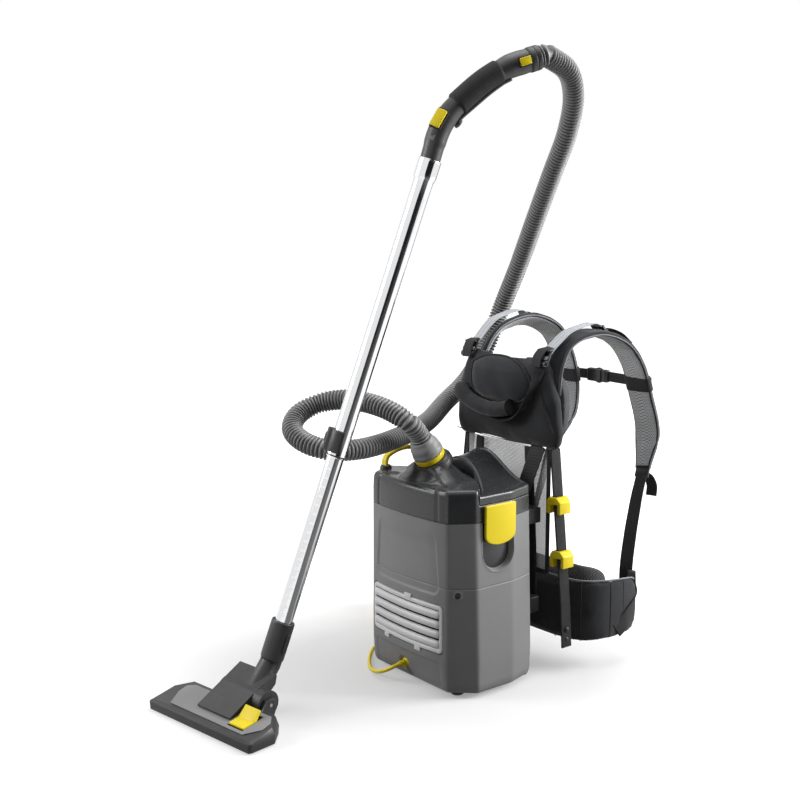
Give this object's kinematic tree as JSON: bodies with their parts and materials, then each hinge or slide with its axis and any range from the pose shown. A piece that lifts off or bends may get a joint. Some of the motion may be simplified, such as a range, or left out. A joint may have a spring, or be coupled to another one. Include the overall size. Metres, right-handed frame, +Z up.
{
  "type": "backpack vacuum cleaner",
  "caption": "Backpack vacuum cleaner with a padded carrying harness, corrugated suction hose, telescopic wand and tilting floor tool.",
  "frame": {"origin": "on the floor, below the middle of the footprint of everything except the hose and the mains cord", "axes": "+Z up, +X towards the wearer's right, +Y from the machine towards the wearer"},
  "size_m": [0.5786, 1.027, 1.1928],
  "materials": {
    "anthracite": "satin",
    "black_plastic": "satin",
    "bristle": "bristle",
    "chrome": "bright polished",
    "fabric_dark": "woven nylon",
    "filter_white": "fleece",
    "grille_silver": "satin light grey",
    "hose_grey": "semi-gloss corrugated",
    "housing_grey": "fine satin grain",
    "label_grey": "satin",
    "mesh_light": "spacer mesh",
    "motor_metal": "cast",
    "signal_yellow": "semi-gloss",
    "soft_black": "soft matt",
    "webbing_light": "woven webbing"
  },
  "bodies": {
    "machine": {"lower_housing": "housing_grey", "upper_housing": "housing_grey", "base_plate": "black_plastic", "exhaust_filter": "filter_white", "motor_casing": "motor_metal", "motor_deck": "black_plastic", "filter_basket": "label_grey", "dust_bag": "filter_white", "cord_gland": "soft_black", "mains_cord": "signal_yellow", "mains_cord_coil": "signal_yellow", "mains_plug": "soft_black", "frame_bar_right": "black_plastic", "frame_bar_left": "black_plastic", "inner_bar_right": "black_plastic", "inner_bar_left": "black_plastic", "carrier_lower": "black_plastic", "carrier_upper": "black_plastic", "cord_clip_lower": "signal_yellow", "cord_clip_upper": "signal_yellow", "back_mesh": "mesh_light", "yoke_pad": "fabric_dark", "carry_roll": "fabric_dark", "shoulder_strap_right": "fabric_dark", "shoulder_strap_left": "fabric_dark", "lower_webbing_right": "fabric_dark", "lower_webbing_left": "fabric_dark", "load_lifter_right": "webbing_light", "load_lifter_left": "webbing_light", "chest_strap_left": "fabric_dark", "hip_belt": "fabric_dark"},
    "fan": {"motor_fan": "motor_metal"},
    "exhaust cover": {"exhaust_grille": "grille_silver"},
    "lid, hose and wand": {"lid": "anthracite", "lid_gasket": "soft_black", "rear_cowl": "anthracite", "carry_handle": "signal_yellow", "inlet_spigot": "black_plastic", "hose_cuff": "hose_grey", "suction_hose": "hose_grey", "handle_pipe": "label_grey", "handle_grip": "soft_black", "outer_tube": "chrome", "tube_lock": "black_plastic"},
    "right latch": {"latch_right": "signal_yellow"},
    "left latch": {"latch_left": "signal_yellow"},
    "hose ring": {"swivel_ring": "signal_yellow"},
    "hose collar": {"hose_end_collar": "black_plastic"},
    "hose release": {"release_button": "signal_yellow"},
    "suction control": {"bleed_slider": "signal_yellow"},
    "inner tube": {"inner_tube": "chrome", "neck_sleeve": "black_plastic"},
    "tube lock": {"tube_lock_slider": "label_grey"},
    "neck": {"swivel_neck": "black_plastic"},
    "floor tool": {"nozzle_body": "black_plastic", "nozzle_top_plate": "label_grey", "neck_hinge_pin": "motor_metal"},
    "pedal": {"nozzle_pedal": "signal_yellow"},
    "brush": {"brush_strip": "bristle"},
    "chest clip": {"chest_strap_right": "fabric_dark"}
  },
  "joints": [
    {"name": "fan_spin", "type": "hinge", "parent": "machine", "child": "fan", "pos_m": [0, 0.05551, 0.07], "axis": [0, 0, 1], "continuous": true},
    {"name": "exhaust_cover_hinge", "type": "hinge", "parent": "machine", "child": "exhaust cover", "pos_m": [0, -0.06769, 0.0836], "axis": [1, 0, 0], "range_deg": [0, 70]},
    {"name": "lid_lift", "type": "slide", "parent": "machine", "child": "lid, hose and wand", "axis": [0, 0, 1], "range_m": [0, 0.09]},
    {"name": "right_latch_hinge", "type": "hinge", "parent": "lid, hose and wand", "child": "right latch", "pos_m": [0.14735, 0.04401, 0.3635], "axis": [0, -1, 0], "range_deg": [0, 55]},
    {"name": "left_latch_hinge", "type": "hinge", "parent": "lid, hose and wand", "child": "left latch", "pos_m": [-0.14735, 0.04401, 0.3635], "axis": [0, 1, 0], "range_deg": [0, 55]},
    {"name": "hose_ring_turn", "type": "hinge", "parent": "lid, hose and wand", "child": "hose ring", "pos_m": [0, 0.00051, 0.431], "axis": [0, -0.5299, 0.848], "continuous": true},
    {"name": "hose_collar_turn", "type": "hinge", "parent": "lid, hose and wand", "child": "hose collar", "pos_m": [0.15686, 0.0848, 1.162], "axis": [0.4064, 0.8647, 0.2952], "continuous": true},
    {"name": "hose_release_press", "type": "slide", "parent": "lid, hose and wand", "child": "hose release", "axis": [-0.905, 0.4253, 0], "range_m": [0, 0.0025], "stiffness_N_per_m": 300},
    {"name": "suction_control_slide", "type": "slide", "parent": "lid, hose and wand", "child": "suction control", "axis": [0.2152, 0.4579, 0.8626], "range_m": [-0.004, 0.004]},
    {"name": "tube_telescope", "type": "slide", "parent": "lid, hose and wand", "child": "inner tube", "axis": [0.133, 0.283, 0.9499], "range_m": [-0.06, 0.28]},
    {"name": "tube_lock_slide", "type": "slide", "parent": "lid, hose and wand", "child": "tube lock", "axis": [0.133, 0.283, 0.9499], "range_m": [0, 0.005], "stiffness_N_per_m": 300},
    {"name": "neck_swivel", "type": "hinge", "parent": "inner tube", "child": "neck", "pos_m": [-0.04234, -0.33906, 0.10087], "axis": [0.133, 0.283, 0.9499], "continuous": true},
    {"name": "floor_tool_tilt", "type": "hinge", "parent": "neck", "child": "floor tool", "pos_m": [-0.04443, -0.38952, 0.042], "axis": [0.9876, 0.1571, 0], "range_deg": [0, 48]},
    {"name": "pedal_rock", "type": "hinge", "parent": "floor tool", "child": "pedal", "pos_m": [0.02362, -0.43539, 0.027], "axis": [0.9876, 0.1571, 0], "range_deg": [-24, 0]},
    {"name": "brush_drop", "type": "slide", "parent": "floor tool", "child": "brush", "axis": [0, 0, -1], "range_m": [0, 0.006]},
    {"name": "chest_clip_slide", "type": "slide", "parent": "machine", "child": "chest clip", "axis": [1, 0, 0], "range_m": [0, 0.03]}
  ],
  "couplings": [
    {"joint": "brush_drop", "follows": "pedal_rock", "m_per_rad": -0.014324}
  ]
}
